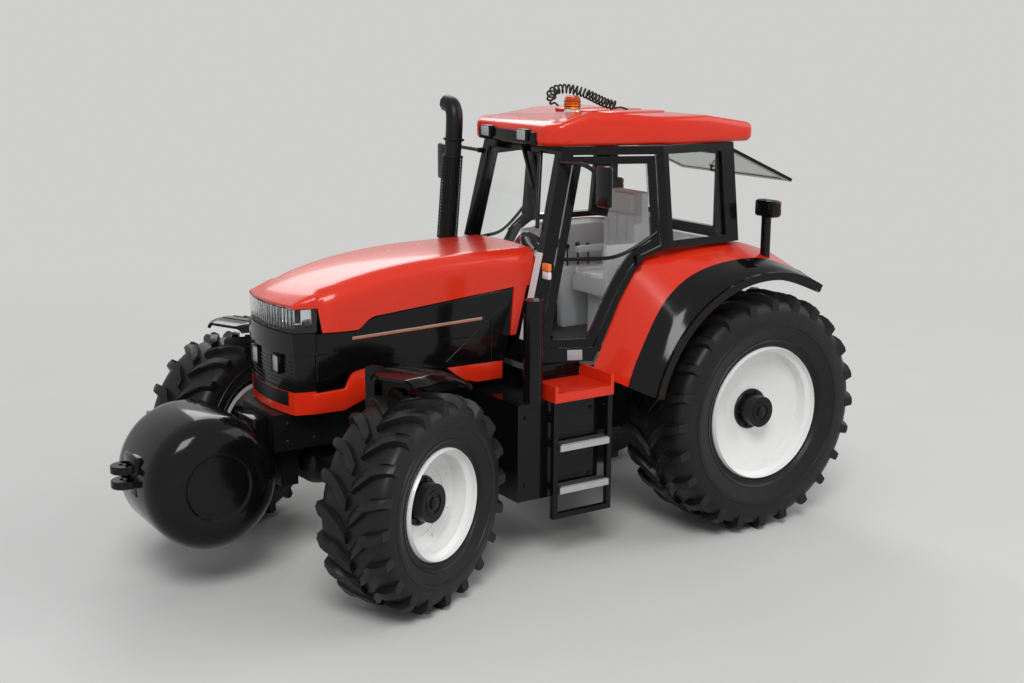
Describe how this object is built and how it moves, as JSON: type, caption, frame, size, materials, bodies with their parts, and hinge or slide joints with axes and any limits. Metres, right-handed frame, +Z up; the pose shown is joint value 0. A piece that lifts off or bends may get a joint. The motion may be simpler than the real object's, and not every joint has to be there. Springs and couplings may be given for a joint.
{
  "type": "scale model of a farm tractor",
  "caption": "Scale model of a four-wheel-drive farm tractor with a glazed cab, steered front wheels, opening doors and rear window, front ballast and a rear linkage.",
  "frame": {"origin": "on the floor under the middle of the model", "axes": "+X forward, +Y to the tractor's left, +Z up"},
  "size_m": [0.178, 0.0998, 0.0997],
  "materials": {
    "red_paint": "gloss",
    "chassis_black": "satin",
    "black_plastic": "gloss",
    "interior_grey": "matt",
    "cord_black": "satin",
    "silver": "satin",
    "chrome": "polished",
    "amber": "gloss",
    "clear_lens": "gloss",
    "clear_glass": "gloss",
    "tinted_glass": "gloss",
    "white_rim": "gloss",
    "tyre": "matt"
  },
  "bodies": {
    "chassis": {"ballast_weight": "chassis_black", "beacon_base": "chrome", "beacon_cord": "cord_black", "beacon_dome": "amber", "cab_frame": "black_plastic", "cab_glass": "clear_glass", "cab_tub": "interior_grey", "console": "interior_grey", "drawbar": "chassis_black", "drive_train": "chassis_black", "exhaust_stack": "black_plastic", "fender_flares": "black_plastic", "fenders": "red_paint", "front_support": "chassis_black", "grille": "black_plastic", "headlamps": "clear_lens", "hood": "red_paint", "intake_column": "black_plastic", "ladder": "black_plastic", "ladder_treads": "silver", "lower_trim": "red_paint", "mirrors": "black_plastic", "rear_axle_housing": "chassis_black", "rear_lamps": "black_plastic", "roof": "red_paint", "roof_lamps": "clear_lens", "seat": "interior_grey", "side_panels": "black_plastic", "steering_wheel": "black_plastic", "steps": "red_paint", "tanks": "black_plastic"},
    "front_axle": {"front_axle": "chassis_black"},
    "knuckle_left": {"knuckle_left": "chassis_black", "front_fender_left": "black_plastic"},
    "knuckle_right": {"knuckle_right": "chassis_black", "front_fender_right": "black_plastic"},
    "wheel_front_left": {"front_tyre_left": "tyre", "front_rim_left": "white_rim", "front_hub_left": "chassis_black"},
    "wheel_front_right": {"front_tyre_right": "tyre", "front_rim_right": "white_rim", "front_hub_right": "chassis_black"},
    "tie_rod": {"tie_rod": "chassis_black"},
    "rear_wheels": {"rear_tyre_left": "tyre", "rear_tyre_right": "tyre", "rear_rims": "white_rim", "rear_hubs": "chassis_black"},
    "door_left": {"door_left": "black_plastic", "door_glass_left": "clear_glass"},
    "door_right": {"door_right": "black_plastic", "door_glass_right": "clear_glass"},
    "rear_window": {"rear_window_frame": "black_plastic", "rear_window_glass": "tinted_glass"},
    "hitch_links": {"hitch_links": "chassis_black"},
    "hitch_arms": {"hitch_arms": "chassis_black"},
    "hitch_rods": {"hitch_rods": "chassis_black"}
  },
  "joints": [
    {"name": "axle_swing", "type": "hinge", "parent": "chassis", "child": "front_axle", "pos_m": [0.0435, 0, 0.0222], "axis": [1, 0, 0], "range_deg": [-7, 7]},
    {"name": "steer_left", "type": "hinge", "parent": "front_axle", "child": "knuckle_left", "pos_m": [0.0435, 0.0232, 0.0222], "axis": [0, 0, 1], "range_deg": [-54, 6]},
    {"name": "steer_right", "type": "hinge", "parent": "front_axle", "child": "knuckle_right", "pos_m": [0.0435, -0.0232, 0.0222], "axis": [0, 0, 1], "range_deg": [-54, 6]},
    {"name": "tie_rod_swing", "type": "hinge", "parent": "knuckle_left", "child": "tie_rod", "pos_m": [0.03574, 0.01974, 0.01636], "axis": [0, 0, -1], "range_deg": [-54, 6]},
    {"name": "front_left_spin", "type": "hinge", "parent": "knuckle_left", "child": "wheel_front_left", "pos_m": [0.0435, 0.0232, 0.0222], "axis": [-0.4067, 0.9135, 0], "continuous": true},
    {"name": "front_right_spin", "type": "hinge", "parent": "knuckle_right", "child": "wheel_front_right", "pos_m": [0.0435, -0.0232, 0.0222], "axis": [-0.4067, 0.9135, 0], "continuous": true},
    {"name": "rear_spin", "type": "hinge", "parent": "chassis", "child": "rear_wheels", "pos_m": [-0.051, 0, 0.028], "axis": [0, 1, 0], "continuous": true},
    {"name": "door_left_swing", "type": "hinge", "parent": "chassis", "child": "door_left", "pos_m": [-0.00688, 0.01794, 0.066], "axis": [0.2271, 0.0324, -0.9733], "range_deg": [0, 60]},
    {"name": "door_right_swing", "type": "hinge", "parent": "chassis", "child": "door_right", "pos_m": [-0.00688, -0.01794, 0.066], "axis": [-0.2271, 0.0324, 0.9733], "range_deg": [0, 60]},
    {"name": "rear_window_lift", "type": "hinge", "parent": "chassis", "child": "rear_window", "pos_m": [-0.0536, 0, 0.0874], "axis": [0, 1, 0], "range_deg": [-67, 0]},
    {"name": "hitch_lift", "type": "hinge", "parent": "chassis", "child": "hitch_links", "pos_m": [-0.0625, 0, 0.017], "axis": [0, 1, 0], "range_deg": [-8, 25]},
    {"name": "hitch_arm_lift", "type": "hinge", "parent": "chassis", "child": "hitch_arms", "pos_m": [-0.0625, 0, 0.038], "axis": [0, 1, 0], "range_deg": [-8, 25]},
    {"name": "hitch_rod_swing", "type": "hinge", "parent": "hitch_links", "child": "hitch_rods", "pos_m": [-0.07841, 0, 0.01533], "axis": [0, -1, 0], "range_deg": [-8, 25]}
  ],
  "couplings": [
    {"joint": "steer_right", "follows": "steer_left", "ratio": 1},
    {"joint": "tie_rod_swing", "follows": "steer_left", "ratio": 1},
    {"joint": "hitch_arm_lift", "follows": "hitch_lift", "ratio": 1},
    {"joint": "hitch_rod_swing", "follows": "hitch_lift", "ratio": 1}
  ]
}
